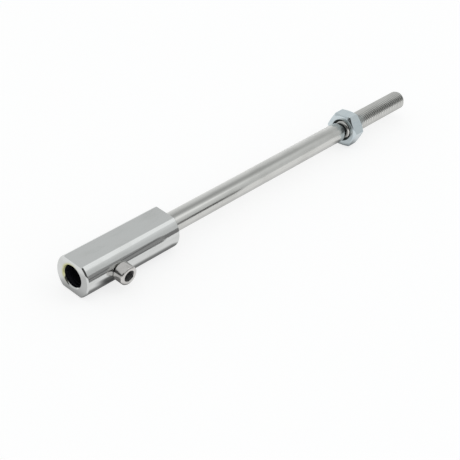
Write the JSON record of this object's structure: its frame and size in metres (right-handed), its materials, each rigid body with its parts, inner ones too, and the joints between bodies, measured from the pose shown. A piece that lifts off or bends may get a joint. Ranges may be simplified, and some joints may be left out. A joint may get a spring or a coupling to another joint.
{
  "type": "rigging turnbuckle clamp stud",
  "caption": "Clamp end fitting of a rigging turnbuckle: a flatted round body takes a rope end in its bore under a cross screw, and a long rod ends in a metric stud with a lock nut.",
  "frame": {"origin": "centre of the rope bore's mouth, on the bore's axis", "axes": "+X along the bore and the rod towards the end of the thread, +Z square to the body's two spanner flats, -Y the side the clamp screw enters from"},
  "size_m": [0.24, 0.0254, 0.0178],
  "materials": {
    "body_plating": "bright nickel-chrome plating over steel",
    "rod_plating": "bright plating over drawn steel bar",
    "nut_zinc": "clear bluish zinc plating",
    "screw_nickel": "bright nickel plating"
  },
  "bodies": {
    "fitting": {"clamp_body": "body_plating", "threaded_rod": "rod_plating"},
    "nut": {"lock_nut": "nut_zinc"},
    "screw": {"clamp_screw": "screw_nickel"}
  },
  "joints": [
    {"name": "lock_nut_travel", "type": "slide", "parent": "fitting", "child": "nut", "axis": [1, 0, 0], "range_m": [-0.0022, 0.0436]},
    {"name": "clamp_screw_travel", "type": "slide", "parent": "fitting", "child": "screw", "axis": [0, -1, 0], "range_m": [0, 0.006]}
  ]
}
